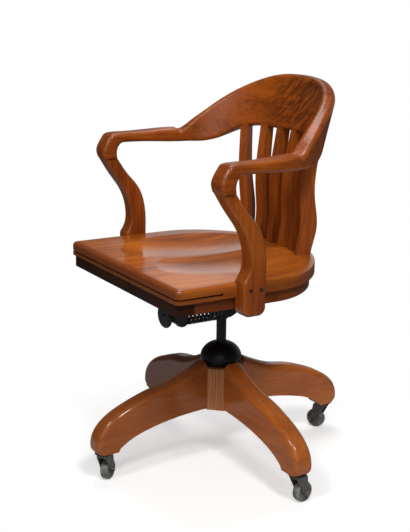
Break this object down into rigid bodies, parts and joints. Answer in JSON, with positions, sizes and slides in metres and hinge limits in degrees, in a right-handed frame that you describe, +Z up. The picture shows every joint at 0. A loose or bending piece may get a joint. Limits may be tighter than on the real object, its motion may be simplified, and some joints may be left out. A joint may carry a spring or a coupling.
{
  "type": "swivel chair",
  "caption": "Wooden swivel armchair with a horseshoe bow back on upright slats, a scooped seat, a sprung tilt iron under it and a splayed leg base on casters.",
  "frame": {"origin": "on the floor under the swivel axis, at the base's centre", "axes": "+Z up, the sitter faces -Y and the sitter's left is +X"},
  "size_m": [0.6124, 0.6124, 0.8112],
  "materials": {
    "walnut": "glossy reddish-brown varnish over a straight to flamed grain",
    "dowel_wood": "turned dowels and plugs, varnished where they show",
    "black_iron": "black enamel with a soft gloss",
    "steel": "blackened steel",
    "caster_iron": "dull black",
    "caster_wheel": "dark grey composition wheel, worn to a satin shine"
  },
  "bodies": {
    "base": {"hub_post": "walnut", "front_leg": "walnut", "left_leg": "walnut", "back_leg": "walnut", "right_leg": "walnut", "leg_dowels": "dowel_wood", "hub_socket": "black_iron", "caster_sockets": "steel"},
    "nut": {"hub_nut": "black_iron"},
    "column": {"spindle": "black_iron", "spindle_sleeve": "black_iron", "yoke": "black_iron", "tilt_pin": "black_iron", "tension_bolt": "black_iron", "tension_spring": "black_iron"},
    "cup": {"spring_cup": "black_iron"},
    "knob": {"tension_knob": "black_iron"},
    "seat": {"seat_iron": "black_iron", "iron_screws": "steel", "seat": "walnut", "front_rail": "walnut", "left_rail": "walnut", "right_rail": "walnut", "back_rail": "walnut", "rail_screws": "steel", "left_arm_post": "walnut", "right_arm_post": "walnut", "left_arm": "walnut", "right_arm": "walnut", "crest_rail": "walnut", "arm_dowels": "dowel_wood", "post_screws": "steel", "post_plugs": "dowel_wood", "slat_1": "walnut", "slat_2": "walnut", "slat_3": "walnut", "slat_4": "walnut", "slat_5": "walnut", "slat_6": "walnut"},
    "front_caster": {"front_caster_fork": "caster_iron", "front_caster_axle": "caster_iron"},
    "front_wheel": {"front_caster_wheel": "caster_wheel"},
    "left_caster": {"left_caster_fork": "caster_iron", "left_caster_axle": "caster_iron"},
    "left_wheel": {"left_caster_wheel": "caster_wheel"},
    "back_caster": {"back_caster_fork": "caster_iron", "back_caster_axle": "caster_iron"},
    "back_wheel": {"back_caster_wheel": "caster_wheel"},
    "right_caster": {"right_caster_fork": "caster_iron", "right_caster_axle": "caster_iron"},
    "right_wheel": {"right_caster_wheel": "caster_wheel"}
  },
  "joints": [
    {"name": "swivel", "type": "hinge", "parent": "base", "child": "nut", "pos_m": [0, 0, 0.2137], "axis": [0, 0, 1], "continuous": true},
    {"name": "height_adjust", "type": "slide", "parent": "nut", "child": "column", "axis": [0, 0, 1], "range_m": [0, 0.06]},
    {"name": "tilt", "type": "hinge", "parent": "column", "child": "seat", "pos_m": [0, 0, 0.352], "axis": [-1, 0, 0], "range_deg": [0, 15], "stiffness_Nm_per_rad": 120, "springref_deg": -6.88, "deforming": ["tension_spring"]},
    {"name": "cup_advance", "type": "slide", "parent": "column", "child": "cup", "axis": [0, 1, 0], "range_m": [0, 0.004], "deforming": ["tension_spring"]},
    {"name": "knob_turn", "type": "hinge", "parent": "cup", "child": "knob", "pos_m": [0, -0.136, 0.333], "axis": [0, 1, 0], "range_deg": [0, 960]},
    {"name": "front_caster_swivel", "type": "hinge", "parent": "base", "child": "front_caster", "pos_m": [0.0049, -0.28096, 0.06], "axis": [0, 0, 1], "continuous": true},
    {"name": "front_wheel_spin", "type": "hinge", "parent": "front_caster", "child": "front_wheel", "pos_m": [-0.00495, -0.26835, 0.021], "axis": [0.788, 0.6157, 0], "continuous": true},
    {"name": "left_caster_swivel", "type": "hinge", "parent": "base", "child": "left_caster", "pos_m": [0.28096, 0.0049, 0.06], "axis": [0, 0, 1], "continuous": true},
    {"name": "left_wheel_spin", "type": "hinge", "parent": "left_caster", "child": "left_wheel", "pos_m": [0.27818, 0.02066, 0.021], "axis": [0.9848, 0.1736, 0], "continuous": true},
    {"name": "back_caster_swivel", "type": "hinge", "parent": "base", "child": "back_caster", "pos_m": [-0.0049, 0.28096, 0.06], "axis": [0, 0, 1], "continuous": true},
    {"name": "back_wheel_spin", "type": "hinge", "parent": "back_caster", "child": "back_wheel", "pos_m": [-0.01963, 0.27471, 0.021], "axis": [-0.3907, 0.9205, 0], "continuous": true},
    {"name": "right_caster_swivel", "type": "hinge", "parent": "base", "child": "right_caster", "pos_m": [-0.28096, -0.0049, 0.06], "axis": [0, 0, 1], "continuous": true},
    {"name": "right_wheel_spin", "type": "hinge", "parent": "right_caster", "child": "right_wheel", "pos_m": [-0.27067, 0.00735, 0.021], "axis": [0.766, -0.6428, 0], "continuous": true}
  ],
  "couplings": [
    {"joint": "cup_advance", "follows": "knob_turn", "m_per_rad": 0.00023873}
  ]
}
